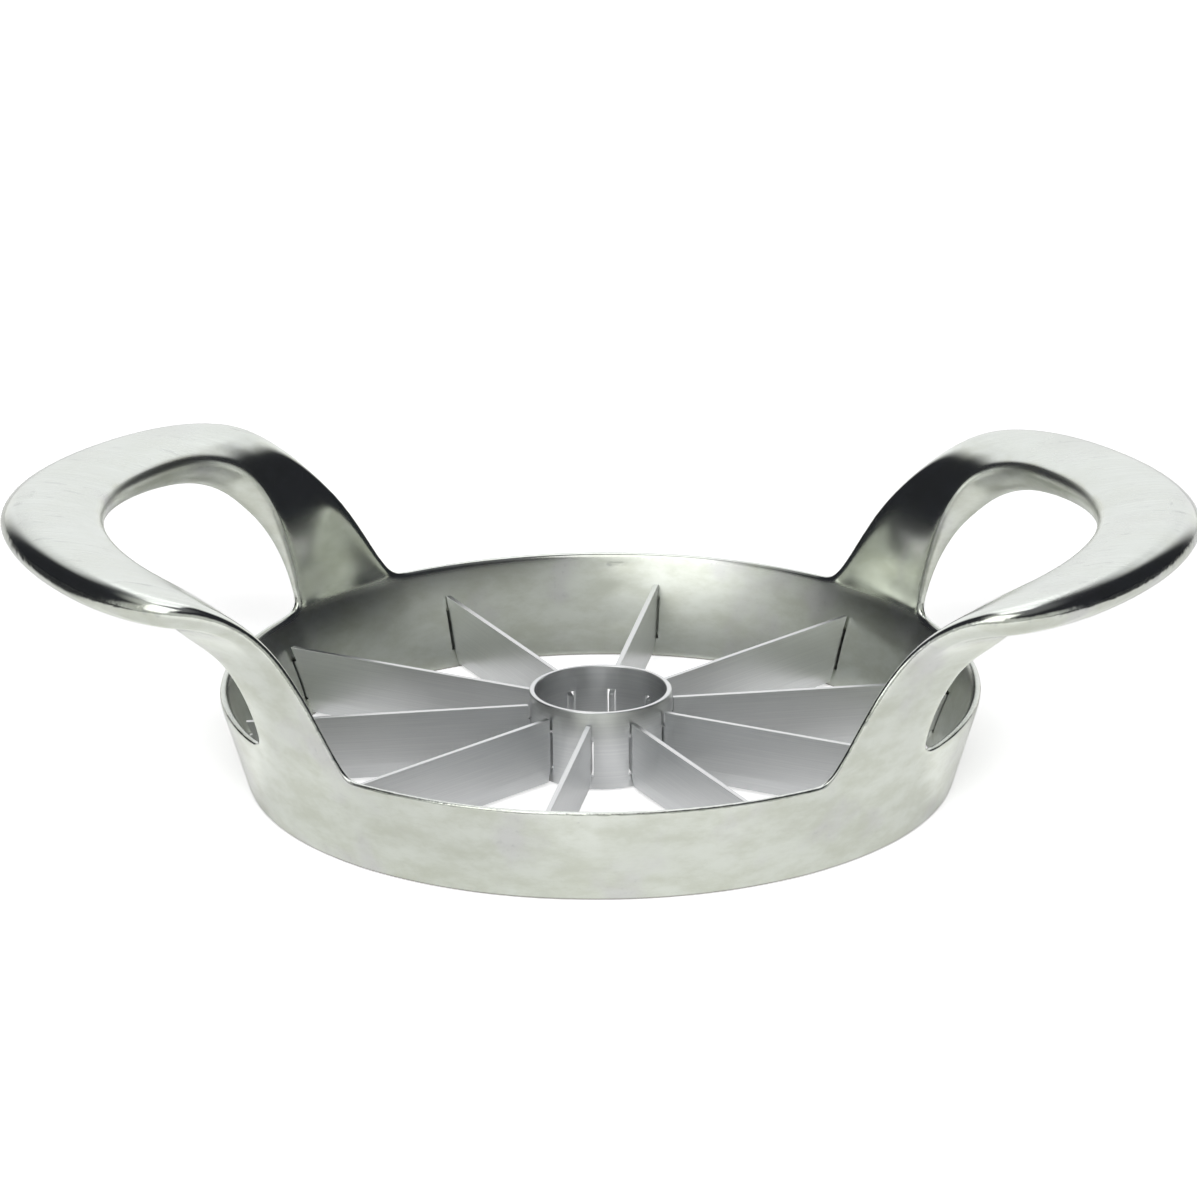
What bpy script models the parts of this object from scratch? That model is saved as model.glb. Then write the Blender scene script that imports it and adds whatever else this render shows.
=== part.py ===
# Press-down fruit slicer and corer.
# One cast frame, a tapered ring that carries two wide loop handles, holds ten
# straight blades round a corer ring. The pieces are fixed to each other.
# Metres, +Z up. The origin is on the table at the ring's centre, and the
# handles reach out along -X and +X.

import math

import bmesh
import bpy
from mathutils import Matrix, Vector

mm = 0.001

# Fit between separate pieces, and how far a cutter runs past a face
clearance = 0.3 * mm
overrun = 2.0 * mm
weld_distance = 0.05 * mm

# Ring wall, tapered wider towards the rim
base_radius = 53.6 * mm
rim_radius = 57.7 * mm
rim_height = 14.9 * mm
side_rim_drop = 0.8 * mm
base_wall = 3.2 * mm
rim_wall = 1.3 * mm
rim_crown = 0.25 * mm
wall_thinning_power = 3
wall_row_shares = (0.0, 0.34, 0.70, 0.92, 1.0)
side_bearings = (0.0, 8.0, 16.0, 23.5, 29.5)
front_bearings = (55.0, 63.0, 72.0, 81.0, 90.0)

# Each handle is the wall flared out: a straight, a bend and a slowly levelling run
arm_lean = math.radians(11)
arm_straight = 12.9 * mm
bend_radius = 16.9 * mm
handle_rise = math.radians(12)
level_radius = 115.0 * mm
bend_fullness = 0.6 * mm
hole_fullness = 0.2 * mm
crown = 0.8 * mm

# An arm thickens from the rim's wall to its full thickness at its growth share,
# and thins again from the thinning share to the tip of the finger hole
outer_thickness = 6.6 * mm
outer_growth_share = 1.2
hole_thickness = 6.8 * mm
hole_growth_share = 0.72
hole_tip_thickness = 3.2 * mm
hole_thinning_share = 0.55

# How far the arm's two sides bulge or draw in from a square section. The outer
# side is rounded by a share of its thickness, which grows up to a share of the arm
round_share = 0.40
round_growth_share = 0.30
outline_inset = 1.1 * mm
under_inset = 0.9 * mm
hole_edge_swell = 0.8 * mm
hole_under_swell = 0.4 * mm

# Handle outlines: the run up the flare and the bearing round the ring, at even
# steps from the rim to the middle of the handle
outer_run = 50.3 * mm
outer_bearing = math.radians(52)
outer_run_shares = (0.0, 0.26, 0.41, 0.57, 0.735, 0.87, 1.0)
outer_bearing_shares = (1.0, 0.87, 0.768, 0.72, 0.665, 0.43, 0.0)
hole_run = 35.9 * mm
hole_bearing = math.radians(32)
hole_run_shares = (0.0, 0.22, 0.385, 0.535, 0.69, 0.86, 1.0)
hole_bearing_shares = (1.0, 0.985, 0.95, 0.92, 0.88, 0.65, 0.0)
arm_place_shares = (0.08, 0.16, 0.26, 0.38, 0.52, 0.64, 0.74, 0.81, 0.865, 0.91, 0.955, 1.0)
across_shares = (0.0, 0.12, 0.42, 0.74, 1.0)

# Corer ring, a ground tube
corer_bore_radius = 10.0 * mm
corer_wall = 0.8 * mm
corer_base_height = 0.5 * mm
corer_top_height = 13.0 * mm
corer_grind = 1.6 * mm
corer_edge_wall = 0.15 * mm
corer_steps = 60

# Blades, flat strips with a tab at each end and a ground lower edge
blade_count = 10
blade_turn = math.radians(11)
blade_thickness = 0.8 * mm
blade_edge_height = 0.8 * mm
blade_top_height = 11.0 * mm
blade_grind = 2.2 * mm
blade_edge_width = 0.12 * mm
tab_base_height = 3.6 * mm
tab_top_height = 8.4 * mm
tab_shoulder = 0.5 * mm
pocket_skin = 1.1 * mm


def new_collection(name):
    collection = bpy.data.collections.new(name)
    bpy.context.scene.collection.children.link(collection)
    return collection


def principled(name, colour, metallic, roughness):
    material = bpy.data.materials.new(name)
    material.use_nodes = True
    shader = material.node_tree.nodes["Principled BSDF"]
    shader.inputs["Base Color"].default_value = (*colour, 1.0)
    shader.inputs["Metallic"].default_value = metallic
    shader.inputs["Roughness"].default_value = roughness
    material.diffuse_color = (*colour, 1.0)
    return material


def object_from_bmesh(name, shape, collection, material=None):
    mesh = bpy.data.meshes.new(name)
    bmesh.ops.recalc_face_normals(shape, faces=shape.faces)
    shape.to_mesh(mesh)
    shape.free()
    piece = bpy.data.objects.new(name, mesh)
    collection.objects.link(piece)
    if material:
        mesh.materials.append(material)
    return piece


def mark_as_cutter(piece):
    piece.hide_render = True
    piece.display_type = "WIRE"


def cut(piece, cutter):
    boolean = piece.modifiers.new("cut", "BOOLEAN")
    boolean.operation = "DIFFERENCE"
    boolean.solver = "EXACT"
    boolean.object = cutter


def smooth_step(share):
    share = min(max(share, 0.0), 1.0)
    return share * share * (3.0 - 2.0 * share)


def mix(start, end, share):
    return start + (end - start) * share


def wall_outside(height):
    return mix(base_radius, rim_radius, height / rim_height)


def wall_inside(height):
    thinning = (height / rim_height) ** wall_thinning_power
    return wall_outside(height) - mix(base_wall, rim_wall, thinning)


def flare(run):
    # Radius, height and steepness of the frame's inner face, up from the rim
    straight = min(run, arm_straight)
    steep = math.pi / 2 - arm_lean
    most = steep - handle_rise
    turned = min(max(run - arm_straight, 0.0) / bend_radius, most)
    level = max(run - arm_straight - most * bend_radius, 0.0)
    bent = steep - turned
    last = bent - level / level_radius
    radius = rim_radius - rim_wall + straight * math.cos(steep)
    radius += bend_radius * (math.sin(steep) - math.sin(bent))
    radius += level_radius * (math.sin(bent) - math.sin(last))
    height = rim_height + straight * math.sin(steep)
    height += bend_radius * (math.cos(bent) - math.cos(steep))
    height += level_radius * (math.cos(last) - math.cos(bent))
    return radius, height, last


def bent_share(steepness):
    # One in the middle of the bend, where the subdivided cage shrinks most
    turned = (math.pi / 2 - arm_lean - steepness) / (math.pi / 2 - arm_lean - handle_rise)
    turned = min(turned, 1.0)
    return 4 * turned * (1 - turned)


def along(shares, place, beyond):
    # A smooth curve through evenly spaced shares, for a place from 0 to 1
    spans = len(shares) - 1
    index = min(int(place * spans), spans - 1)
    part = place * spans - index
    padded = (2 * shares[0] - shares[1], *shares, beyond)
    before, start, end, after = padded[index:index + 4]
    bend = 2 * before - 5 * start + 4 * end - after
    twist = 3 * (start - end) + after - before
    return start + part * (end - before + part * (bend + part * twist)) / 2


def arm_place(place, across):
    # Run and bearing of a point between the hole's edge and the outer edge
    hole = (
        hole_run * along(hole_run_shares, place, hole_run_shares[-2]),
        hole_bearing * along(hole_bearing_shares, place, -hole_bearing_shares[-2]),
    )
    outer = (
        outer_run * along(outer_run_shares, place, outer_run_shares[-2]),
        outer_bearing * along(outer_bearing_shares, place, -outer_bearing_shares[-2]),
    )
    return mix(hole[0], outer[0], across), mix(hole[1], outer[1], across)


def round_axis(radius, bearing, height):
    return Vector((radius * math.cos(bearing), radius * math.sin(bearing), height))


def ring_fullness(bearings, index):
    # A subdivided cage shrinks between its columns, so each column stands out
    before = bearings[max(index - 1, 0)]
    after = bearings[min(index + 1, len(bearings) - 1)]
    here = bearings[index]
    return 6 / (4 + math.cos(here - before) + math.cos(after - here))


def frame_cage():
    # A quarter of the frame, from the middle of a handle round to the front
    shape = bmesh.new()
    crease = shape.edges.layers.float.new("crease_edge")
    root = [mix(hole_bearing, outer_bearing, share) for share in across_shares]
    sides = [math.radians(angle) for angle in side_bearings]
    fronts = [math.radians(angle) for angle in front_bearings]
    bearings = sides + root + fronts
    first = len(sides)
    last = first + len(root) - 1

    inside, outside = {}, {}
    for column, bearing in enumerate(bearings):
        fullness = ring_fullness(bearings, column)
        drop = side_rim_drop if column < first else 0.0
        for row, share in enumerate(wall_row_shares):
            height = share * rim_height
            lowered = height - drop * smooth_step(share)
            inner = wall_inside(height) * fullness
            outer = wall_outside(height) * fullness
            inside[column, row] = shape.verts.new(round_axis(inner, bearing, lowered))
            outside[column, row] = shape.verts.new(round_axis(outer, bearing, lowered))
    top = len(wall_row_shares) - 1

    middle = {}
    for column in [*range(first + 1), *range(last, len(bearings))]:
        between = (inside[column, top].co + outside[column, top].co) / 2
        between.z += rim_crown
        middle[column, top] = shape.verts.new(between)

    for row, place in enumerate(arm_place_shares, start=top + 1):
        outer_grown = smooth_step(place / outer_growth_share)
        hole_grown = smooth_step(place / hole_growth_share)
        outer_depth = mix(rim_wall, outer_thickness, outer_grown)
        thinned = smooth_step((place - hole_thinning_share) / (1 - hole_thinning_share))
        hole_depth = mix(mix(rim_wall, hole_thickness, hole_grown), hole_tip_thickness, thinned)
        for column, across in zip(range(first, last + 1), across_shares):
            run, bearing = arm_place(place, across)
            radius, height, steepness = flare(run)
            thickness = mix(hole_depth, outer_depth, across)
            down = round_axis(math.sin(steepness), bearing, -math.cos(steepness))
            raised = mix(hole_fullness, bend_fullness, across) * bent_share(steepness)
            raised += crown * outer_grown * 4 * across * (1 - across)
            upper = round_axis(radius, bearing, height) - down * raised
            inside[column, row] = shape.verts.new(upper)
            outside[column, row] = shape.verts.new(upper + down * thickness)
            if column in (first, last):
                middle[column, row] = shape.verts.new(upper + down * thickness / 2)
        width = (inside[last, row].co - inside[first, row].co).normalized()
        rounded = outer_depth * round_share * smooth_step(place / round_growth_share)
        drawn_in = rounded * 2 / 3 - outline_inset * outer_grown
        inside[last, row].co -= width * drawn_in
        middle[last, row].co += width * (rounded - drawn_in)
        outside[last, row].co -= width * (drawn_in + under_inset * outer_grown)
        middle[first, row].co -= width * hole_edge_swell * hole_grown
        outside[first, row].co -= width * hole_under_swell * hole_grown

    tip = top + len(arm_place_shares)
    faces = []
    for row in range(tip):
        start, stop = (0, len(bearings) - 1) if row < top else (first, last)
        for column in range(start, stop):
            corners = [(column, row), (column + 1, row), (column + 1, row + 1), (column, row + 1)]
            faces.append([inside[key] for key in corners])
            faces.append([outside[key] for key in corners])
    rims = [*range(first), *range(last, len(bearings) - 1)]
    edges = [((column, top), (column + 1, top)) for column in rims]
    edges += [((column, row), (column, row + 1)) for column in (first, last) for row in range(top, tip)]
    for start, end in edges:
        faces.append([inside[start], inside[end], middle[end], middle[start]])
        faces.append([middle[start], middle[end], outside[end], outside[start]])
    for column in range(len(bearings) - 1):
        faces.append([inside[column, 0], inside[column + 1, 0], outside[column + 1, 0], outside[column, 0]])
    for corners in faces:
        shape.faces.new(corners)
    for edge in shape.edges:
        if all(vert.co.z == 0 for vert in edge.verts) and len(edge.link_faces) == 2:
            walls = [face for face in edge.link_faces if any(vert.co.z > 0 for vert in face.verts)]
            edge[crease] = 1.0 if len(walls) == 1 else 0.0
    return shape


def strip_between(rows):
    # A thin solid along +X through rectangles of height, start, end and half width
    shape = bmesh.new()
    loops = []
    for height, start, end, half in rows:
        corners = ((start, -half), (end, -half), (end, half), (start, half))
        loops.append([shape.verts.new((x, y, height)) for x, y in corners])
    shape.faces.new(loops[0])
    shape.faces.new(loops[-1])
    for lower, upper in zip(loops, loops[1:]):
        for index in range(len(lower)):
            ahead = (index + 1) % len(lower)
            shape.faces.new((lower[index], lower[ahead], upper[ahead], upper[index]))
    return shape


def blade_rows():
    corer_side = corer_bore_radius + corer_wall + clearance
    shoulder_low = tab_base_height - tab_shoulder
    shoulder_high = tab_top_height + tab_shoulder
    grind_top = blade_edge_height + blade_grind
    rows = []
    for height in (blade_edge_height, grind_top, shoulder_low, tab_base_height,
                   tab_top_height, shoulder_high, blade_top_height):
        if tab_base_height <= height <= tab_top_height:
            start = corer_bore_radius
            end = wall_outside(height) - pocket_skin - clearance
        else:
            start = corer_side
            end = wall_inside(height) - clearance
        width = blade_edge_width if height == blade_edge_height else blade_thickness
        rows.append((height, start, end, width / 2))
    return rows


def slot_rows(start, end_at):
    half = blade_thickness / 2 + clearance
    low = tab_base_height - tab_shoulder - clearance
    high = tab_top_height + tab_shoulder + clearance
    return [(height, start, end_at(height), half) for height in (low, high)]


def blade_bearings():
    return [blade_turn + 2 * math.pi * index / blade_count for index in range(blade_count)]


def repeated_cutter(name, rows, collection):
    shape = bmesh.new()
    for bearing in blade_bearings():
        tool = strip_between(rows)
        bmesh.ops.rotate(tool, verts=tool.verts, matrix=Matrix.Rotation(bearing, 3, "Z"))
        copy = bpy.data.meshes.new(name)
        bmesh.ops.recalc_face_normals(tool, faces=tool.faces)
        tool.to_mesh(copy)
        tool.free()
        shape.from_mesh(copy)
        bpy.data.meshes.remove(copy)
    cutter = object_from_bmesh(name, shape, collection)
    mark_as_cutter(cutter)
    return cutter


def make_frame(parts, cutters, material):
    frame = object_from_bmesh("cast_frame", frame_cage(), parts, material)
    mirror = frame.modifiers.new("mirror", "MIRROR")
    mirror.use_axis = (True, True, False)
    mirror.merge_threshold = weld_distance
    smooth = frame.modifiers.new("smooth", "SUBSURF")
    smooth.levels = 1
    smooth.render_levels = 1

    def pocket_floor(height):
        return wall_outside(height) - pocket_skin

    start = wall_inside(0.0) - overrun
    rows = slot_rows(start, pocket_floor)
    cut(frame, repeated_cutter("blade_pocket_cutter", rows, cutters))
    return frame


def make_corer(parts, cutters, material):
    outer = corer_bore_radius + corer_wall
    profile = [
        (outer, corer_top_height),
        (outer, corer_base_height + corer_grind),
        (corer_bore_radius + corer_edge_wall, corer_base_height),
        (corer_bore_radius, corer_base_height),
        (corer_bore_radius, corer_top_height),
    ]
    shape = bmesh.new()
    verts = [shape.verts.new((radius, 0.0, height)) for radius, height in profile]
    for index in range(len(verts)):
        shape.edges.new((verts[index], verts[(index + 1) % len(verts)]))
    corer = object_from_bmesh("corer_ring", shape, parts, material)
    turn = corer.modifiers.new("turn", "SCREW")
    turn.steps = corer_steps
    turn.render_steps = corer_steps
    turn.use_merge_vertices = True
    turn.merge_threshold = weld_distance

    def past_wall(height):
        return outer + overrun

    rows = slot_rows(corer_bore_radius - overrun, past_wall)
    cut(corer, repeated_cutter("corer_slot_cutter", rows, cutters))
    return corer


def make_blades(parts, material):
    first = object_from_bmesh("blade_01", strip_between(blade_rows()), parts, material)
    blades = [first]
    for index in range(1, blade_count):
        blade = bpy.data.objects.new(f"blade_{index + 1:02d}", first.data)
        parts.objects.link(blade)
        blades.append(blade)
    for blade, bearing in zip(blades, blade_bearings()):
        blade.rotation_euler.z = bearing
    return blades


def main():
    for leftover in list(bpy.data.objects):
        bpy.data.objects.remove(leftover)
    parts = new_collection("apple_slicer")
    cutters = new_collection("cutters")
    aluminium = principled("cast_aluminium", (0.80, 0.81, 0.80), 1.0, 0.22)
    blade_steel = principled("blade_steel", (0.62, 0.63, 0.65), 1.0, 0.25)
    corer_steel = principled("corer_steel", (0.60, 0.61, 0.63), 1.0, 0.30)

    origin = bpy.data.objects.new("slicer_origin", None)
    parts.objects.link(origin)
    pieces = [make_frame(parts, cutters, aluminium), make_corer(parts, cutters, corer_steel)]
    pieces += make_blades(parts, blade_steel)
    for piece in pieces:
        piece.parent = origin
        piece.data.shade_smooth()


main()
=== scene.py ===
import math

import bmesh
import bpy
from mathutils import Matrix, Vector


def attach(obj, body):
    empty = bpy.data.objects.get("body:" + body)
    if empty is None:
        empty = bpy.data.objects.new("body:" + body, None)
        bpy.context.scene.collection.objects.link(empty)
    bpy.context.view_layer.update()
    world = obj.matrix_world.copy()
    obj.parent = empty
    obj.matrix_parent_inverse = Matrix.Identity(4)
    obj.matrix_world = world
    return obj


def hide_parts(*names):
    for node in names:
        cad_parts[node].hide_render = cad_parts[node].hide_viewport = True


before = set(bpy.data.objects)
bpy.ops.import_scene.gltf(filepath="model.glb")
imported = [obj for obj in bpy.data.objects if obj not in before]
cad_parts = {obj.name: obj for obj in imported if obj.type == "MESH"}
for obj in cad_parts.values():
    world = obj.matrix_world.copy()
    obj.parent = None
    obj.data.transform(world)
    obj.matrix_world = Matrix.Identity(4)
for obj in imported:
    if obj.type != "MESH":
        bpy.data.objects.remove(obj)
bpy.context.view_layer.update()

mm = 0.001
touching = 0.01 * mm  # points closer than this are one
print("frame loaded:", len(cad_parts), "nodes")


# shader helpers

class Signal:
    # a node's output, so that shader maths reads as plain sums
    def __init__(self, finish, socket):
        self.finish = finish
        self.socket = socket

    def math(self, operation, first, second):
        sockets = {0: first, 1: second}
        return self.finish.node("ShaderNodeMath", {"operation": operation}, sockets)

    def __add__(self, other):
        return self.math("ADD", self, other)

    def __radd__(self, other):
        return self.math("ADD", other, self)

    def __sub__(self, other):
        return self.math("SUBTRACT", self, other)

    def __rsub__(self, other):
        return self.math("SUBTRACT", other, self)

    def __mul__(self, other):
        return self.math("MULTIPLY", self, other)

    def __truediv__(self, other):
        return self.math("DIVIDE", self, other)


class Finish:
    # a node tree of a material or of the world
    def __init__(self, owner):
        owner.use_nodes = True
        self.owner = owner
        self.tree = owner.node_tree
        self.tree.nodes.clear()

    def node(self, kind, settings=None, sockets=None, out=0):
        made = self.tree.nodes.new(kind)
        for name, value in (settings or {}).items():
            setattr(made, name, value)
        for name, value in (sockets or {}).items():
            if isinstance(value, Signal):
                self.tree.links.new(value.socket, made.inputs[name])
            else:
                made.inputs[name].default_value = value
        return Signal(self, made.outputs[out] if made.outputs else None)

    def noise(self, place, scale, detail, roughness=0.5):
        # with a scale for each axis, it is drawn out along the axes with the smaller ones
        if isinstance(scale, tuple):
            place = self.node("ShaderNodeMapping", {}, {"Vector": place, "Scale": scale})
            scale = 1.0
        sockets = {"Vector": place, "Scale": scale, "Detail": detail, "Roughness": roughness}
        return self.node("ShaderNodeTexNoise", {}, sockets)

    def part(self, vector, axis):
        return self.node("ShaderNodeSeparateXYZ", {}, {"Vector": vector}, out=axis)

    def unsigned(self, vector):
        return self.node("ShaderNodeVectorMath", {"operation": "ABSOLUTE"}, {0: vector})

    def band(self, value, low, high):
        # 0 below low, 1 above high, smooth between
        settings = {"interpolation_type": "SMOOTHSTEP"}
        sockets = {"Value": value, "From Min": low, "From Max": high}
        return self.node("ShaderNodeMapRange", settings, sockets)

    def blend(self, share, first, second):
        sockets = {"Factor": share, "A": first, "B": second}
        return self.node("ShaderNodeMix", {"data_type": "RGBA"}, sockets, out=2)

    def surface(self, sockets):
        shader = self.node("ShaderNodeBsdfPrincipled", {}, sockets)
        self.node("ShaderNodeOutputMaterial", {}, {"Surface": shader})

    def metal(self, colour, roughness, relief):
        sockets = {"Height": relief, "Strength": 1.0, "Distance": 1.0}
        bump = self.node("ShaderNodeBump", {}, sockets)
        self.surface({"Base Color": colour, "Metallic": 1.0,
                      "Roughness": roughness, "Normal": bump})


def grey(level):
    return (level, level, level, 1.0)


# metal finishes

castLook = {
    "pale": (0.82, 0.855, 0.82, 1.0),
    # the walls' pale metal, warmed by a painted reflection of the warm floor and surroundings
    "wallPaleAndWarmReflection": (0.82, 0.85, 0.785, 1.0),
    # the polish's clouds, their yellow-green tone partly a painted warm reflection
    "cloudedAndWarmReflection": (0.675, 0.70, 0.61, 1.0),
    "stained": (0.74, 0.735, 0.745, 1.0),
    "brushedTone": (0.68, 0.71, 0.68, 1.0),
    "scratched": (0.40, 0.41, 0.42, 1.0),
    # painted shade: a dark line along the foot, standing in for the contact shadow seen in its
    # rounding
    "paintedFootShade": (0.30, 0.28, 0.26, 1.0),
    # where each finish begins and ends
    "topTilt": (0.86, 0.97),
    "sideTilt": (0.70, 0.88),
    "tipSpan": (72 * mm, 84 * mm),
    "insideSpan": (-0.045, -0.025),
    "insideTop": (14.3 * mm, 15.3 * mm),
    "paintedFootShadeHeight": 0.45 * mm,
    "wornAngles": (math.radians(7), math.radians(13)),
    # each pattern's noise: cells to the metre, detail and roughness
    "clouds": ((120.0, 120.0, 264.0), 6.0, 0.66),
    "stains": (75.0, 3.0, 0.55),
    "specks": (900.0, 2.0, 0.7),
    "brushMarks": ((28.0, 3000.0, 0.0), 3.0, 0.65),
    "smudges": ((130.0, 650.0, 0.0), 4.0, 0.6),
    "scratches": ((190.0, 3300.0, 0.0), 1.0),
    "wear": (650.0, 2.0),
    "ripples": (60.0, 1.0, 0.4),
    # the part of each noise over which its marks fade in
    "cloudSpan": (0.34, 0.68),
    "stainSpan": (0.52, 0.70),
    "speckSpan": (0.55, 0.80),
    "brushSpan": (0.30, 0.75),
    "smudgeSpan": (0.60, 0.72),
    "scratchSpan": (0.745, 0.775),
    "wearSpan": (0.02, 0.12),
    # how strongly they show, and how much less on the handles' tops
    "cloudShare": (0.85, 0.5),
    "stainShare": (0.6, 0.3),
    # how strongly the brushed tone shows, and how much more in its marks
    "brushShare": (0.30, 0.45),
    "smudgeShare": 0.35,
    "speckShare": 0.30,
    "scratchShare": 0.45,
    "paintedFootShadeShare": 0.8,
    "wearShare": 0.3,
    "polished": 0.13,
    "brushed": 0.25,
    "satin": 0.32,
    "rougher": {"marks": 0.10, "stains": 0.03, "smudges": 0.05, "clouds": 0.02, "worn": 0.05},
    "rippleDepth": 0.025 * mm,
    "grainDepth": 0.0004 * mm,
    "wearDepth": 0.11 * mm,
}


def castAluminium():
    look = castLook
    finish = Finish(bpy.data.materials.new("castAluminium"))
    place = finish.node("ShaderNodeTexCoord", out=3)
    normal = finish.node("ShaderNodeNewGeometry", out=1)
    upward = finish.part(normal, 2)
    height = finish.part(place, 2)
    topFace = finish.band(upward, *look["topTilt"])
    topSide = finish.band(upward, *look["sideTilt"])
    nearTip = finish.band(finish.part(finish.unsigned(place), 0), *look["tipSpan"])
    brushedSide = topFace + (topSide - topFace) * nearTip
    settings = {"operation": "DOT_PRODUCT"}
    outward = finish.node("ShaderNodeVectorMath", settings, {0: normal, 1: place}, out=1)
    inside = 1.0 - finish.band(outward, *look["insideSpan"])
    inside = inside * (1.0 - finish.band(height, *look["insideTop"]))
    holeWall = finish.node("ShaderNodeAttribute", {"attribute_name": "holeWall"}, out=2)
    satin = inside + holeWall * (1.0 - topFace)

    # soft clouds of the hand polish, strongest on the ring wall; their yellow-green tone is partly
    # a painted warm reflection
    clouds = finish.band(finish.noise(place, *look["clouds"]), *look["cloudSpan"])
    stains = finish.band(finish.noise(place, *look["stains"]), *look["stainSpan"])
    share, less = look["cloudShare"]
    # the walls are warmer than the tops: a painted reflection of the warm floor and surroundings
    colour = finish.blend(topSide, look["wallPaleAndWarmReflection"], look["pale"])
    colour = finish.blend(clouds * (share - topFace * less), colour, look["cloudedAndWarmReflection"])
    share, less = look["stainShare"]
    colour = finish.blend(stains * (share - topFace * less), colour, look["stained"])

    # brush marks along the handles' width, smudges, faint specks and a few short scratches
    marks = finish.noise(place, *look["brushMarks"])
    share, more = look["brushShare"]
    brushing = (share + finish.band(marks, *look["brushSpan"]) * more) * brushedSide
    colour = finish.blend(brushing, colour, look["brushedTone"])
    smudges = finish.band(finish.noise(place, *look["smudges"]), *look["smudgeSpan"]) * topFace
    colour = finish.blend(smudges * look["smudgeShare"], colour, look["scratched"])
    specks = finish.band(finish.noise(place, *look["specks"]), *look["speckSpan"]) * stains
    colour = finish.blend(specks * look["speckShare"], colour, look["scratched"])
    scratches = finish.band(finish.noise(place, *look["scratches"]), *look["scratchSpan"])
    scratches = scratches * topFace
    colour = finish.blend(scratches * look["scratchShare"], colour, look["scratched"])
    # painted shade along the foot: a dark line for the contact shadow seen in the foot's rounding
    paintedFootShade = 1.0 - finish.band(height, look["paintedFootShadeHeight"] / 2, look["paintedFootShadeHeight"])
    colour = finish.blend(paintedFootShade * look["paintedFootShadeShare"], colour, look["paintedFootShade"])

    # the tight edges are unevenly worn
    worn = finish.node("ShaderNodeAttribute", {"attribute_name": "worn"}, out=2)
    wear = (finish.noise(place, *look["wear"]) - 0.5) * worn
    bare = finish.band(wear, *look["wearSpan"])
    colour = finish.blend(bare * look["wearShare"], colour, look["scratched"])

    rougher = look["rougher"]
    roughness = look["polished"] + topFace * (look["brushed"] - look["polished"])
    roughness = roughness + satin * (look["satin"] - look["polished"])
    roughness = roughness + (marks - 0.5) * rougher["marks"] * topFace + stains * rougher["stains"]
    roughness = roughness + smudges * rougher["smudges"] + clouds * rougher["clouds"]
    roughness = roughness + worn * rougher["worn"]

    ripples = finish.noise(place, *look["ripples"])
    relief = ripples * look["rippleDepth"] + marks * topFace * look["grainDepth"]
    finish.metal(colour, roughness, relief + wear * look["wearDepth"])
    return finish.owner


steelLook = {
    "bright": (0.80, 0.81, 0.81, 1.0),
    "dull": (0.73, 0.74, 0.75, 1.0),
    # noise of the grinding marks on the blades and round the corer, and of the stains
    "bladeMarks": ((60.0, 4600.0, 1.0), 3.0, 0.6),
    "corerMarks": ((50.0, 50.0, 4600.0), 3.0, 0.6),
    "stains": (160.0, 3.0),
    "markSpan": (0.25, 0.75),
    "stainSpan": (0.5, 0.8),
    "roughness": 0.30,
    "rougher": {"marks": 0.10, "stains": 0.05},
    "markDepth": 0.0004 * mm,
}


def groundSteel(name, markPlace, markNoise):
    # markPlace is the node, with its settings and output, whose coordinates the marks follow
    look = steelLook
    finish = Finish(bpy.data.materials.new(name))
    kind, settings, out = markPlace
    marks = finish.noise(finish.node(kind, settings, out=out), *markNoise)
    place = finish.node("ShaderNodeTexCoord", out=3)
    stains = finish.band(finish.noise(place, *look["stains"]), *look["stainSpan"])
    colour = finish.blend(finish.band(marks, *look["markSpan"]), look["dull"], look["bright"])
    roughness = look["roughness"] + (marks - 0.5) * look["rougher"]["marks"]
    roughness = roughness + stains * look["rougher"]["stains"]
    finish.metal(colour, roughness, marks * look["markDepth"])
    return finish.owner


bladeMarkPlace = ("ShaderNodeUVMap", {"uv_map": "bladeFlat"}, 0)
corerMarkPlace = ("ShaderNodeTexCoord", {}, 3)
castMetal = castAluminium()
bladeMetal = groundSteel("bladeSteel", bladeMarkPlace, steelLook["bladeMarks"])
corerMetal = groundSteel("corerSteel", corerMarkPlace, steelLook["corerMarks"])
print("finishes made")


# shared shape helpers

def smoothStep(share):
    share = min(max(share, 0.0), 1.0)
    return share * share * (3.0 - 2.0 * share)


def mix(start, end, share):
    return start + (end - start) * share


def vertsOf(geometry):
    return [item for item in geometry if isinstance(item, bmesh.types.BMVert)]


def edgesOf(geometry):
    return [item for item in geometry if isinstance(item, bmesh.types.BMEdge)]


def pieceFrom(name, shape, material):
    mesh = bpy.data.meshes.new(name)
    bmesh.ops.recalc_face_normals(shape, faces=shape.faces[:])
    shape.to_mesh(mesh)
    shape.free()
    mesh.materials.append(material)
    piece = bpy.data.objects.new(name, mesh)
    bpy.context.scene.collection.objects.link(piece)
    return piece


def roundOff(shape, edges, width, segments):
    bmesh.ops.bevel(shape, geom=edges, offset=width, offset_type="OFFSET", segments=segments,
                    profile=0.5, affect="EDGES", material=-1, clamp_overlap=True)


def cutAway(piece, cutter):
    boolean = piece.modifiers.new("cut", "BOOLEAN")
    boolean.operation = "DIFFERENCE"
    boolean.solver = "EXACT"
    boolean.object = cutter


def bakeShape(piece, sharpAngle):
    # applies the modifiers, and shades smooth up to the given angle
    bpy.context.view_layer.update()
    solid = piece.evaluated_get(bpy.context.evaluated_depsgraph_get())
    mesh = bpy.data.meshes.new_from_object(solid)
    mesh.name = piece.name
    piece.modifiers.clear()
    piece.data = mesh
    mesh.shade_smooth()
    mesh.set_sharp_from_angle(angle=sharpAngle)


# the cast frame: ring wall and two loop handles

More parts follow.
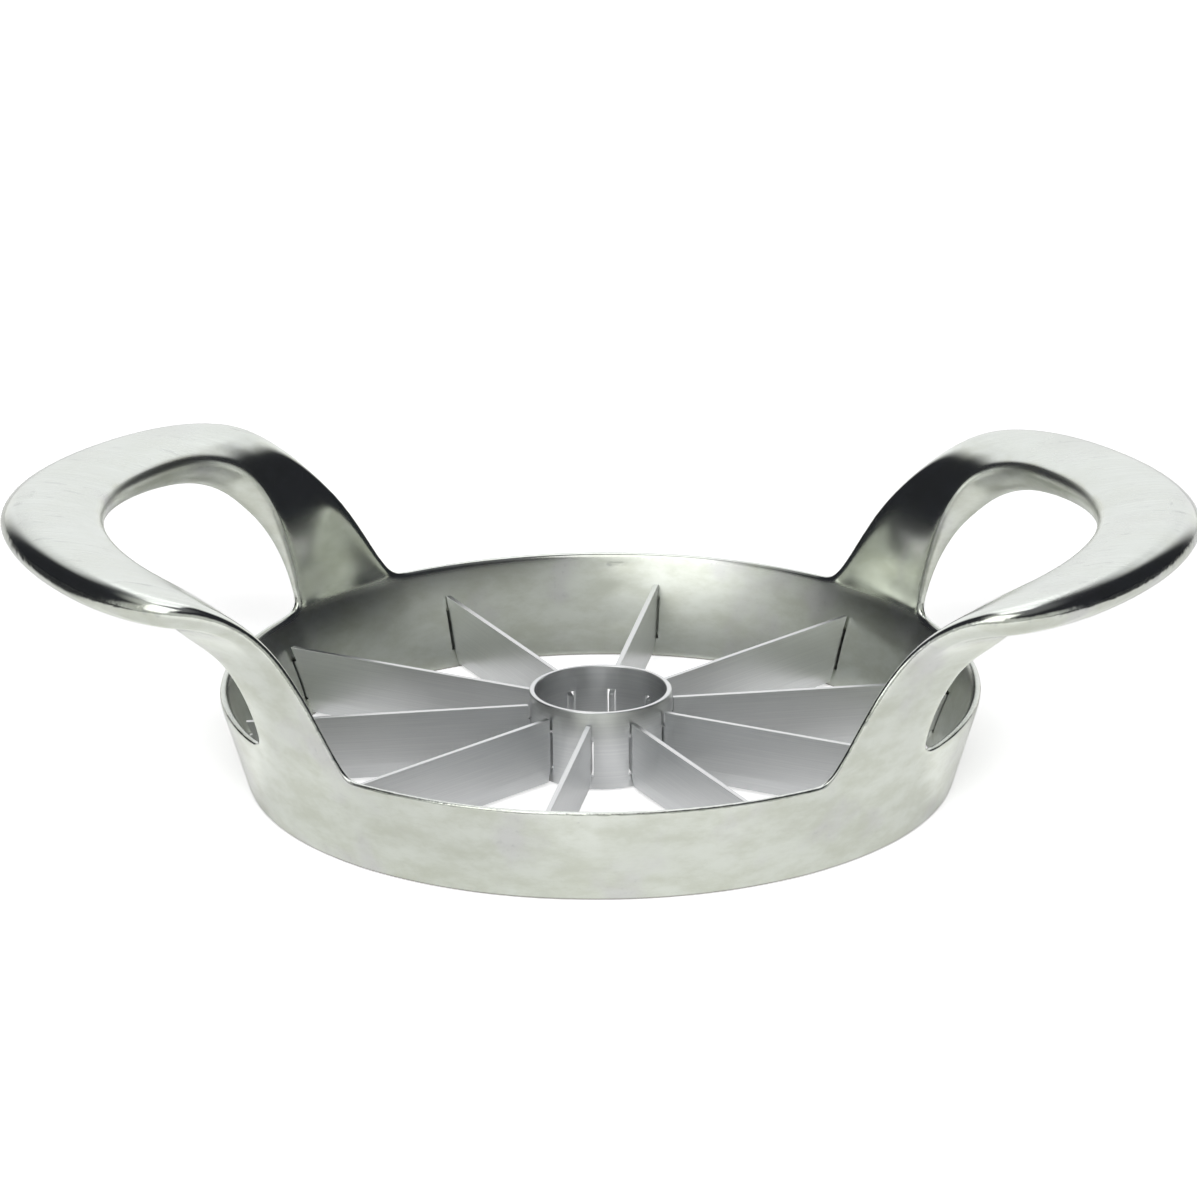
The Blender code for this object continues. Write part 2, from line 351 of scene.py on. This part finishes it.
castFrame = {
    "baseRadius": 53.6 * mm,
    "rimRadius": 57.7 * mm,
    "rimHeight": 14.9 * mm,
    "sideRimDrop": 0.8 * mm,
    "baseWall": 3.2 * mm,
    "rimWall": 1.3 * mm,
    "rimCrown": 0.25 * mm,
    "thinningPower": 3,
    "wallRowShares": (0.0, 0.34, 0.70, 0.92, 1.0),
    "sideBearings": (0.0, 8.0, 16.0, 23.5, 29.5),
    "frontBearings": (55.0, 63.0, 72.0, 81.0, 90.0),
    "armLean": math.radians(11),
    "armStraight": 12.9 * mm,
    "bendRadius": 16.9 * mm,
    "handleRise": math.radians(12),
    "levelRadius": 115.0 * mm,
    "bendFullness": 0.6 * mm,
    "holeFullness": 0.2 * mm,
    "crown": 0.8 * mm,
    "outerThickness": 6.6 * mm,
    "outerGrowthShare": 1.2,
    "holeThickness": 6.8 * mm,
    "holeGrowthShare": 0.72,
    "holeTipThickness": 3.2 * mm,
    "holeThinningShare": 0.55,
    "roundShare": 0.40,
    "roundGrowthShare": 0.30,
    "outlineInset": 1.1 * mm,
    "underInset": 0.9 * mm,
    "holeEdgeSwell": 0.8 * mm,
    "holeUnderSwell": 0.4 * mm,
    "outerRun": 50.3 * mm,
    "outerBearing": math.radians(52),
    "outerRunShares": (0.0, 0.26, 0.41, 0.57, 0.735, 0.87, 1.0),
    "outerBearingShares": (1.0, 0.87, 0.768, 0.72, 0.665, 0.43, 0.0),
    "holeRun": 35.9 * mm,
    "holeBearing": math.radians(32),
    "holeRunShares": (0.0, 0.22, 0.385, 0.535, 0.69, 0.86, 1.0),
    "holeBearingShares": (1.0, 0.985, 0.95, 0.92, 0.88, 0.65, 0.0),
    "armPlaceShares": (0.08, 0.16, 0.26, 0.38, 0.52, 0.64, 0.74, 0.81, 0.865, 0.91, 0.955, 1.0),
    "acrossShares": (0.0, 0.12, 0.42, 0.74, 1.0),
    "footRound": 0.5 * mm,
    "footSegments": 2,
    "holeEdgeCrease": 0.55,
    "rimEdgeCrease": 0.75,
    "smoothness": 3,
    "sharpAngle": math.radians(40),
}


def wallOutside(height):
    return mix(castFrame["baseRadius"], castFrame["rimRadius"], height / castFrame["rimHeight"])


def wallInside(height):
    thinning = (height / castFrame["rimHeight"]) ** castFrame["thinningPower"]
    return wallOutside(height) - mix(castFrame["baseWall"], castFrame["rimWall"], thinning)


def flare(run):
    # radius, height and steepness of the inner face, up from the rim
    size = castFrame
    straight = min(run, size["armStraight"])
    steep = math.pi / 2 - size["armLean"]
    most = steep - size["handleRise"]
    turned = min(max(run - size["armStraight"], 0.0) / size["bendRadius"], most)
    level = max(run - size["armStraight"] - most * size["bendRadius"], 0.0)
    now = steep - turned
    radius = size["rimRadius"] - size["rimWall"] + straight * math.cos(steep)
    radius += size["bendRadius"] * (math.sin(steep) - math.sin(now))
    height = size["rimHeight"] + straight * math.sin(steep)
    height += size["bendRadius"] * (math.cos(now) - math.cos(steep))
    last = now - level / size["levelRadius"]
    radius += size["levelRadius"] * (math.sin(now) - math.sin(last))
    height += size["levelRadius"] * (math.cos(last) - math.cos(now))
    return radius, height, last


def bentShare(steepness):
    # 0 at both ends of the bend, 1 half way through it
    lean = math.pi / 2 - castFrame["armLean"]
    turned = min((lean - steepness) / (lean - castFrame["handleRise"]), 1.0)
    return 4 * turned * (1 - turned)


def along(shares, place, beyond):
    # smooth curve through evenly spaced shares
    spans = len(shares) - 1
    index = min(int(place * spans), spans - 1)
    part = place * spans - index
    padded = (2 * shares[0] - shares[1], *shares, beyond)
    before, start, end, after = padded[index:index + 4]
    bend = 2 * before - 5 * start + 4 * end - after
    twist = 3 * (start - end) + after - before
    return start + part * (end - before + part * (bend + part * twist)) / 2


def armOutline(side, place):
    # run up the face and bearing of a handle's outer edge or of its finger hole
    runs = castFrame[side + "RunShares"]
    bearings = castFrame[side + "BearingShares"]
    run = castFrame[side + "Run"] * along(runs, place, runs[-2])
    return run, castFrame[side + "Bearing"] * along(bearings, place, -bearings[-2])


def roundAxis(radius, bearing, height):
    return Vector((radius * math.cos(bearing), radius * math.sin(bearing), height))


def wallPoint(bearing, share, low, fullness):
    # a point of the ring's inner face, and the step through the wall
    height = share * castFrame["rimHeight"]
    lowered = height - low * smoothStep(share)
    inner = roundAxis(wallInside(height) * fullness, bearing, lowered)
    return inner, roundAxis(wallOutside(height) * fullness, bearing, lowered) - inner


def armPoint(place, across):
    # a point of the handle's upper face, and the step through the handle
    size = castFrame
    outerGrown = smoothStep(place / size["outerGrowthShare"])
    holeGrown = smoothStep(place / size["holeGrowthShare"])
    thinned = smoothStep((place - size["holeThinningShare"]) / (1 - size["holeThinningShare"]))
    holeDepth = mix(size["rimWall"], size["holeThickness"], holeGrown)
    holeDepth = mix(holeDepth, size["holeTipThickness"], thinned)
    outerDepth = mix(size["rimWall"], size["outerThickness"], outerGrown)
    holeRun, holeBearing = armOutline("hole", place)
    outerRun, outerBearing = armOutline("outer", place)
    bearing = mix(holeBearing, outerBearing, across)
    radius, height, steepness = flare(mix(holeRun, outerRun, across))
    down = roundAxis(math.sin(steepness), bearing, -math.cos(steepness))
    crown = size["crown"] * outerGrown * 4 * across * (1 - across)
    fullness = mix(size["holeFullness"], size["bendFullness"], across) * bentShare(steepness)
    upper = roundAxis(radius, bearing, height) - down * (fullness + crown)
    return upper, down * mix(holeDepth, outerDepth, across), outerGrown, holeGrown


def frameColumns():
    # bearings of the cage's columns, and the first and last column that rises into the handle
    size = castFrame
    root = [mix(size["holeBearing"], size["outerBearing"], share) for share in size["acrossShares"]]
    sides = [math.radians(angle) for angle in size["sideBearings"]]
    fronts = [math.radians(angle) for angle in size["frontBearings"]]
    return sides + root + fronts, len(sides), len(sides) + len(root) - 1


def frameSheet(shape):
    # a quarter of the inner face, extruded row by row from the foot to the tip of a handle
    size = castFrame
    column = shape.verts.layers.int.new("column")
    rim = shape.verts.layers.int.new("rim")
    through = shape.verts.layers.float_vector.new("through")
    bulge = shape.verts.layers.float_vector.new("bulge")
    holeWall = shape.verts.layers.float.new("holeWall")
    bearings, first, last = frameColumns()
    # pushed out a little at every column, so that the smoothed wall meets the true circle
    fullness = []
    for index, bearing in enumerate(bearings):
        before = bearings[max(index - 1, 0)]
        after = bearings[min(index + 1, len(bearings) - 1)]
        fullness.append(6 / (4 + math.cos(bearing - before) + math.cos(after - bearing)))

    def setWall(vert, share):
        index = vert[column]
        drop = size["sideRimDrop"] if index < first else 0.0
        vert.co, vert[through] = wallPoint(bearings[index], share, drop, fullness[index])
        vert[bulge] = Vector((0, 0, size["rimCrown"])) * (share == 1.0)
        vert[rim] = share == 1.0

    row = [shape.verts.new() for bearing in bearings]
    for index, vert in enumerate(row):
        vert[column] = index
        setWall(vert, 0.0)
    edges = [shape.edges.new(pair) for pair in zip(row, row[1:])]
    for share in size["wallRowShares"][1:]:
        made = bmesh.ops.extrude_edge_only(shape, edges=edges)["geom"]
        edges = [edge for edge in edgesOf(made) if all(vert in made for vert in edge.verts)]
        for vert in vertsOf(made):
            setWall(vert, share)

    edges = [edge for edge in edges if all(first <= vert[column] <= last for vert in edge.verts)]
    for place in size["armPlaceShares"]:
        made = bmesh.ops.extrude_edge_only(shape, edges=edges)["geom"]
        edges = edgesOf(made)
        ends = {}
        for vert in vertsOf(made):
            across = size["acrossShares"][vert[column] - first]
            vert.co, vert[through], outerGrown, holeGrown = armPoint(place, across)
            vert[rim] = 0
            ends[vert[column]] = vert
        ends[first][holeWall] = 1.0
        width = (ends[last].co - ends[first].co).normalized()
        swell = width * size["holeUnderSwell"] * holeGrown
        inset = width * size["underInset"] * outerGrown
        rounded = ends[last][through].length * size["roundShare"]
        rounded *= smoothStep(place / size["roundGrowthShare"])
        # drawn in by two thirds of the rounding, so that the outline stays
        ends[last].co -= width * (rounded * 2 / 3 - size["outlineInset"] * outerGrown)
        ends[last][bulge] = width * rounded + inset / 2
        ends[last][through] -= inset
        ends[first][bulge] = swell / 2 - width * size["holeEdgeSwell"] * holeGrown
        ends[first][through] -= swell
    return first, last


def onPlane(face, axis):
    return all(abs(vert.co[axis]) < touching for vert in face.verts)


def frameCage():
    size = castFrame
    shape = bmesh.new()
    first, last = frameSheet(shape)
    column = shape.verts.layers.int["column"]
    rim = shape.verts.layers.int["rim"]
    through = shape.verts.layers.float_vector["through"]
    bulge = shape.verts.layers.float_vector["bulge"]

    # thicken the sheet, each point by its own step
    upper = set(shape.verts)
    bmesh.ops.extrude_face_region(shape, geom=shape.faces[:])
    lower = {vert for vert in shape.verts if vert not in upper}
    crossing = [edge for edge in shape.edges if len({vert in upper for vert in edge.verts}) == 2]
    for vert in lower:
        vert.co += vert[through]
    caps = [face for face in shape.faces if onPlane(face, 0) or onPlane(face, 1)]
    bmesh.ops.delete(shape, geom=caps, context="FACES_ONLY")

    # round the rim and the handle's edges with a row of points half way through
    sides = [edge for edge in crossing
             if edge.is_valid and any(vert.co.z > 0 for vert in edge.verts)]
    cut = bmesh.ops.subdivide_edges(shape, edges=sides, cuts=1)["geom_inner"]
    for vert in vertsOf(cut):
        vert.co += vert[bulge]

    # crisp upper edge round the finger hole, and outer edge along the rim
    crease = shape.edges.layers.float.new("crease_edge")
    for edge in shape.edges:
        onRim = all(vert in lower and vert[rim] for vert in edge.verts)
        columns = [vert[column] for vert in edge.verts]
        if onRim and (max(columns) <= first or min(columns) >= last):
            edge[crease] = size["rimEdgeCrease"]
        rising = all(vert in upper and vert[column] == first for vert in edge.verts)
        if rising and min(vert.co.z for vert in edge.verts) > size["rimHeight"]:
            edge[crease] = size["holeEdgeCrease"]

    for axis in "XY":
        whole = shape.verts[:] + shape.edges[:] + shape.faces[:]
        bmesh.ops.mirror(shape, geom=whole, matrix=Matrix(), merge_dist=2 * touching, axis=axis)
    bmesh.ops.recalc_face_normals(shape, faces=shape.faces[:])

    foot = [edge for edge in shape.edges if all(vert.co.z == 0 for vert in edge.verts)
            and any(vert.co.z > 0 for face in edge.link_faces for vert in face.verts)]
    roundOff(shape, foot, size["footRound"], size["footSegments"])
    return shape


def markWornEdges(piece):
    # 1 along the tight convex edges, 0 on the flat and softly curved faces
    low, high = castLook["wornAngles"]
    shape = bmesh.new()
    shape.from_mesh(piece.data)
    worn = shape.verts.layers.float.new("worn")
    for edge in shape.edges:
        share = smoothStep((edge.calc_face_angle_signed(0.0) - low) / (high - low))
        for vert in edge.verts:
            vert[worn] = max(vert[worn], share)
    shape.to_mesh(piece.data)
    shape.free()


def makeCastFrame(cutters):
    piece = pieceFrom("castFrameFine", frameCage(), castMetal)
    smooth = piece.modifiers.new("smooth", "SUBSURF")
    smooth.levels = castFrame["smoothness"]
    smooth.render_levels = castFrame["smoothness"]
    cutAway(piece, cutters)
    bakeShape(piece, castFrame["sharpAngle"])
    markWornEdges(piece)
    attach(piece, "root")
    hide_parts("cast_frame")


# the blades and the corer ring

corerRing = {
    "boreRadius": 10.0 * mm,
    "wall": 0.8 * mm,
    "baseHeight": 0.5 * mm,
    "topHeight": 13.0 * mm,
    "grind": 1.6 * mm,
    "edgeWall": 0.15 * mm,
    "lipRound": 0.2 * mm,
    "lipSegments": 3,
    "lipAngle": math.radians(60),
    "sharpAngle": math.radians(30),
    "steps": 144,
}

blades = {
    "count": 10,
    "turn": math.radians(11),
    "thickness": 0.8 * mm,
    "edgeHeight": 0.8 * mm,
    "topHeight": 11.0 * mm,
    "grind": 2.2 * mm,
    "edgeWidth": 0.12 * mm,
    "tabBase": 3.6 * mm,
    "tabTop": 8.4 * mm,
    "shoulder": 0.5 * mm,
    "pocketSkin": 1.1 * mm,
    "clearance": 0.3 * mm,
    "edgeRound": 0.08 * mm,
    "edgeSegments": 2,
    "easedAngle": math.radians(35),
    "sharpAngle": math.radians(20),
    "cutterOverrun": 2 * mm,
}


def bladeBearings():
    step = 2 * math.pi / blades["count"]
    return [blades["turn"] + step * index for index in range(blades["count"])]


def stripThrough(shape, rows):
    # a strip along +X, extruded upwards from its lowest rectangle
    height, start, end, half = rows[0]
    made = bmesh.ops.create_grid(shape, x_segments=1, y_segments=1, size=0.5)
    verts = made["verts"]
    bmesh.ops.scale(shape, verts=verts, vec=(end - start, 2 * half, 1.0))
    bmesh.ops.translate(shape, verts=verts, vec=((start + end) / 2, 0, height))
    edges = [edge for edge in shape.edges if edge.verts[0] in verts]
    for height, start, end, half in rows[1:]:
        made = bmesh.ops.extrude_edge_only(shape, edges=edges)["geom"]
        edges = [edge for edge in edgesOf(made) if all(vert in made for vert in edge.verts)]
        for vert in vertsOf(made):
            reach = end if vert.co.x > (start + end) / 2 else start
            vert.co = Vector((reach, math.copysign(half, vert.co.y), height))
    bmesh.ops.edgeloop_fill(shape, edges=edges)


def slotCutter(name, start, endAt):
    # ten cutters in a star, a clearance larger than the blades' tabs
    half = blades["thickness"] / 2 + blades["clearance"]
    low = blades["tabBase"] - blades["shoulder"] - blades["clearance"]
    high = blades["tabTop"] + blades["shoulder"] + blades["clearance"]
    star = bmesh.new()
    for bearing in bladeBearings():
        known = set(star.verts)
        stripThrough(star, [(height, start, endAt(height), half) for height in (low, high)])
        fresh = [vert for vert in star.verts if vert not in known]
        bmesh.ops.rotate(star, verts=fresh, matrix=Matrix.Rotation(bearing, 3, "Z"))
    cutter = pieceFrom(name, star, castMetal)
    cutter.hide_render = True
    return cutter


def bladeRows():
    # height, start, end and half thickness of the blade at each bend of its outline
    size = blades
    rows = []
    heights = (size["edgeHeight"], size["edgeHeight"] + size["grind"],
               size["tabBase"] - size["shoulder"], size["tabBase"],
               size["tabTop"], size["tabTop"] + size["shoulder"], size["topHeight"])
    for height in heights:
        if size["tabBase"] <= height <= size["tabTop"]:
            start = corerRing["boreRadius"]
            end = wallOutside(height) - size["pocketSkin"] - size["clearance"]
        else:
            start = corerRing["boreRadius"] + corerRing["wall"] + size["clearance"]
            end = wallInside(height) - size["clearance"]
        width = size["edgeWidth"] if height == size["edgeHeight"] else size["thickness"]
        rows.append((height, start, end, width / 2))
    return rows


def makeBlade(index, bearing):
    shape = bmesh.new()
    stripThrough(shape, bladeRows())
    # every sharp edge is eased but the ground cutting edge
    low = blades["edgeHeight"] + blades["grind"] / 2
    rims = [edge for edge in shape.edges if edge.calc_face_angle() > blades["easedAngle"]
            and max(vert.co.z for vert in edge.verts) > low]
    roundOff(shape, rims, blades["edgeRound"], blades["edgeSegments"])
    flat = shape.loops.layers.uv.new("bladeFlat")
    for face in shape.faces:
        for loop in face.loops:
            loop[flat].uv = (loop.vert.co.x, loop.vert.co.z + loop.vert.co.y)
    bmesh.ops.rotate(shape, verts=shape.verts[:], matrix=Matrix.Rotation(bearing, 3, "Z"))
    piece = pieceFrom(f"bladeFine{index:02d}", shape, bladeMetal)
    bakeShape(piece, blades["sharpAngle"])
    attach(piece, "root")
    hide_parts(f"blade_{index:02d}")


def makeCorer(cutters):
    size = corerRing
    outer = size["boreRadius"] + size["wall"]
    profile = [
        (outer, size["topHeight"]),
        (outer, size["baseHeight"] + size["grind"]),
        (size["boreRadius"] + size["edgeWall"], size["baseHeight"]),
        (size["boreRadius"], size["baseHeight"]),
        (size["boreRadius"], size["topHeight"]),
    ]
    shape = bmesh.new()
    verts = [shape.verts.new((radius, 0.0, height)) for radius, height in profile]
    edges = [shape.edges.new(pair) for pair in zip(verts, verts[1:] + verts[:1])]
    bmesh.ops.spin(shape, geom=verts + edges, axis=(0, 0, 1), cent=(0, 0, 0), angle=2 * math.pi,
                   steps=size["steps"], use_merge=True)
    bmesh.ops.remove_doubles(shape, verts=shape.verts[:], dist=touching)
    lips = [edge for edge in shape.edges if edge.calc_face_angle(0.0) > size["lipAngle"]
            and all(abs(vert.co.z - size["topHeight"]) < touching for vert in edge.verts)]
    roundOff(shape, lips, size["lipRound"], size["lipSegments"])
    piece = pieceFrom("corerRingFine", shape, corerMetal)
    cutAway(piece, cutters)
    bakeShape(piece, size["sharpAngle"])
    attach(piece, "root")
    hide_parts("corer_ring")


def pocketFloor(height):
    return wallOutside(height) - blades["pocketSkin"]


def pastCorer(height):
    return corerRing["boreRadius"] + corerRing["wall"] + blades["cutterOverrun"]


overrun = blades["cutterOverrun"]
wallCutter = slotCutter("wallCutter", wallInside(0.0) - overrun, pocketFloor)
corerCutter = slotCutter("corerCutter", corerRing["boreRadius"] - overrun, pastCorer)
makeCastFrame(wallCutter)
print("cast frame made")
makeCorer(corerCutter)
for index, bearing in enumerate(bladeBearings(), start=1):
    makeBlade(index, bearing)
for cutter in (wallCutter, corerCutter):
    bpy.data.objects.remove(cutter)
print("corer and blades made")


# floor, light and camera

studio = {
    "floorSize": 6.0,
    "floorColour": 0.86,
    "floorRoughness": 0.9,
    "floorGlow": 0.52,
    "farGlow": 0.6,
    "farSpan": (0.2, 0.6),
    # the pale sheet that the metal sees on the floor
    "sheetHalfWidth": {"left": 0.102, "right": 0.14},
    "sheetFade": 0.03,
    "sheetSlant": 0.9,
    "sheetSides": (-0.03, 0.03),
    # the glow that the metal sees on it, by place
    "mirroredGlow": {"left": 0.01, "right": 0.12, "front": 0.14, "beside": 0.045, "foot": 0.20},
    "mirroredEnd": (0.075, 0.105),
    "besideSpan": (-0.04, 0.04),
    "frontSpan": (-0.06, -0.04),
    "footDepth": (0.010, 0.022),
    "footSpan": (0.050, 0.056),
    # the room that the metal sees, by direction
    "dark": (0.020, 0.021, 0.026, 1.0),
    "front": (0.50, 0.51, 0.50, 1.0),
    "ceilingLeft": (0.55, 0.56, 0.55, 1.0),
    "ceilingRight": (0.14, 0.14, 0.15, 1.0),
    "fill": 0.30,
    "backdropWidth": (0.73, 0.92),
    "backdropTop": (0.60, 0.72),
    "frontWidth": (0.15, 0.50),
    "frontTop": (0.60, 0.85),
    "frontSlant": 0.3,
    "ceilingSides": (-0.2, 0.2),
    "ceilingFoot": (0.80, 0.95),
    "softboxes": (
        # place, width and height, watts, lights the floor, seen in the metal
        ((0.0, -1.4, 1.15), (1.4, 0.8), 27.0, True, False),
        ((-0.03, 0.82, 1.30), (0.62, 1.00), 2.44, True, True),
        ((-0.15, -0.28, 0.50), (0.36, 0.66), 0.86, False, True),
    ),
}


def mirroredFloorGlow(finish, outward, rightward, sideways, depth):
    # a level each to the left and right, others beside the ring, straight before it and at its ends
    level = studio["mirroredGlow"]
    ahead = 1.0 - finish.band(outward, *studio["besideSpan"])
    inFront = 1.0 - finish.band(outward, *studio["frontSpan"])
    atFoot = 1.0 - finish.band(depth, *studio["footDepth"])
    atFoot = atFoot * finish.band(sideways, *studio["footSpan"])
    glow = rightward * (level["right"] - level["left"]) + level["left"] - level["beside"]
    glow = ahead * glow + level["beside"]
    glow = glow * (1.0 - inFront) + inFront * level["front"] + atFoot * level["foot"]
    return glow * (1.0 - finish.band(outward, *studio["mirroredEnd"]))


def makeFloor():
    # the camera sees a white floor, and the metal a pale sheet on a dark one
    shape = bmesh.new()
    bmesh.ops.create_grid(shape, x_segments=1, y_segments=1, size=studio["floorSize"])
    finish = Finish(bpy.data.materials.new("paleFloor"))
    seen = finish.node("ShaderNodeLightPath", out=0)
    mirrored = finish.node("ShaderNodeLightPath", out=3)
    place = finish.node("ShaderNodeTexCoord", out=3)
    across = finish.unsigned(place)
    sideways = finish.part(across, 0)
    depth = finish.part(across, 1)
    outward = sideways - depth * studio["sheetSlant"]
    rightward = finish.band(finish.part(place, 0), *studio["sheetSides"])

    reach = studio["sheetHalfWidth"]
    edge = rightward * (reach["right"] - reach["left"]) + reach["left"]
    offSheet = finish.band(outward, edge, edge + studio["sheetFade"]) * mirrored
    colour = finish.blend(offSheet, grey(studio["floorColour"]), studio["dark"])

    away = finish.node("ShaderNodeVectorMath", {"operation": "LENGTH"}, {0: place}, out=1)
    glow = studio["floorGlow"] + finish.band(away, *studio["farSpan"]) * studio["farGlow"]
    mirroredGlow = mirroredFloorGlow(finish, outward, rightward, sideways, depth)
    glow = finish.blend(seen * glow + mirrored * mirroredGlow, grey(0.0), grey(1.0))
    finish.surface({"Base Color": colour, "Roughness": studio["floorRoughness"],
                    "Emission Color": glow, "Emission Strength": 1.0})
    floor = pieceFrom("floor", shape, finish.owner)


def makeWorld():
    # the camera and the metal see one white backdrop, and the metal also the darker room beside it
    world = bpy.data.worlds.new("studio")
    bpy.context.scene.world = world
    finish = Finish(world)
    direction = finish.node("ShaderNodeTexCoord", out=0)
    rightward, backward, upward = (finish.part(direction, axis) for axis in range(3))
    level = rightward * rightward + backward * backward
    facing = backward / finish.node("ShaderNodeMath", {"operation": "SQRT"}, {0: level})

    backdrop = finish.band(facing, *studio["backdropWidth"])
    backdrop = backdrop * (1.0 - finish.band(upward, *studio["backdropTop"]))
    front = finish.band(facing * -1.0, *studio["frontWidth"])
    slanted = upward + rightward * studio["frontSlant"]
    front = front * (1.0 - finish.band(slanted, *studio["frontTop"]))

    side = finish.band(rightward, *studio["ceilingSides"])
    ceiling = finish.blend(side, studio["ceilingLeft"], studio["ceilingRight"])
    room = finish.blend(finish.band(upward, *studio["ceilingFoot"]), studio["dark"], ceiling)
    room = finish.blend(front, room, studio["front"])
    room = finish.blend(backdrop, room, grey(1.0))

    seen = finish.node("ShaderNodeLightPath", out=0)
    mirrored = finish.node("ShaderNodeLightPath", out=3)
    colour = finish.blend(mirrored, grey(studio["fill"]), room)
    colour = finish.blend(seen, colour, grey(1.0))
    light = finish.node("ShaderNodeBackground", {}, {"Color": colour, "Strength": 1.0})
    finish.node("ShaderNodeOutputWorld", {}, {"Surface": light})


def makeLamps():
    for index, softbox in enumerate(studio["softboxes"], start=1):
        place, (width, height), watts, lighting, seen = softbox
        lamp = bpy.data.lights.new(f"softbox{index}", "AREA")
        lamp.shape = "RECTANGLE"
        lamp.size = width
        lamp.size_y = height
        lamp.energy = watts
        holder = bpy.data.objects.new(lamp.name, lamp)
        holder.location = place
        holder.rotation_euler = (-Vector(place)).to_track_quat("-Z", "Y").to_euler()
        holder.visible_camera = False
        holder.visible_diffuse = lighting
        holder.visible_glossy = seen
        bpy.context.scene.collection.objects.link(holder)


camera = {
    "target": Vector((0.0, 0.0, 20.0 * mm)),
    "distance": 1.0,
    "elevation": math.radians(19.85),
    "turn": math.radians(2.56),
    "roll": math.radians(-0.355),
    "sensorWidth": 36.0,
    "lens": 199.09,
    "shift": (-0.00145, 0.03866),
    "clip": (0.05, 50.0),
}


def makeCamera():
    lens = bpy.data.cameras.new("photoCamera")
    lens.sensor_width = camera["sensorWidth"]
    lens.lens = camera["lens"]
    lens.shift_x, lens.shift_y = camera["shift"]
    lens.clip_start, lens.clip_end = camera["clip"]
    holder = bpy.data.objects.new("photoCamera", lens)
    aim = Matrix.Rotation(camera["turn"], 4, "Z")
    aim = aim @ Matrix.Rotation(math.pi / 2 - camera["elevation"], 4, "X")
    back = Matrix.Translation(camera["target"] + aim @ Vector((0.0, 0.0, camera["distance"])))
    holder.matrix_world = back @ aim @ Matrix.Rotation(camera["roll"], 4, "Z")
    bpy.context.scene.collection.objects.link(holder)
    bpy.context.scene.camera = holder


makeFloor()
makeWorld()
makeLamps()
makeCamera()
bpy.context.scene.view_settings.view_transform = "Standard"
print("studio made")
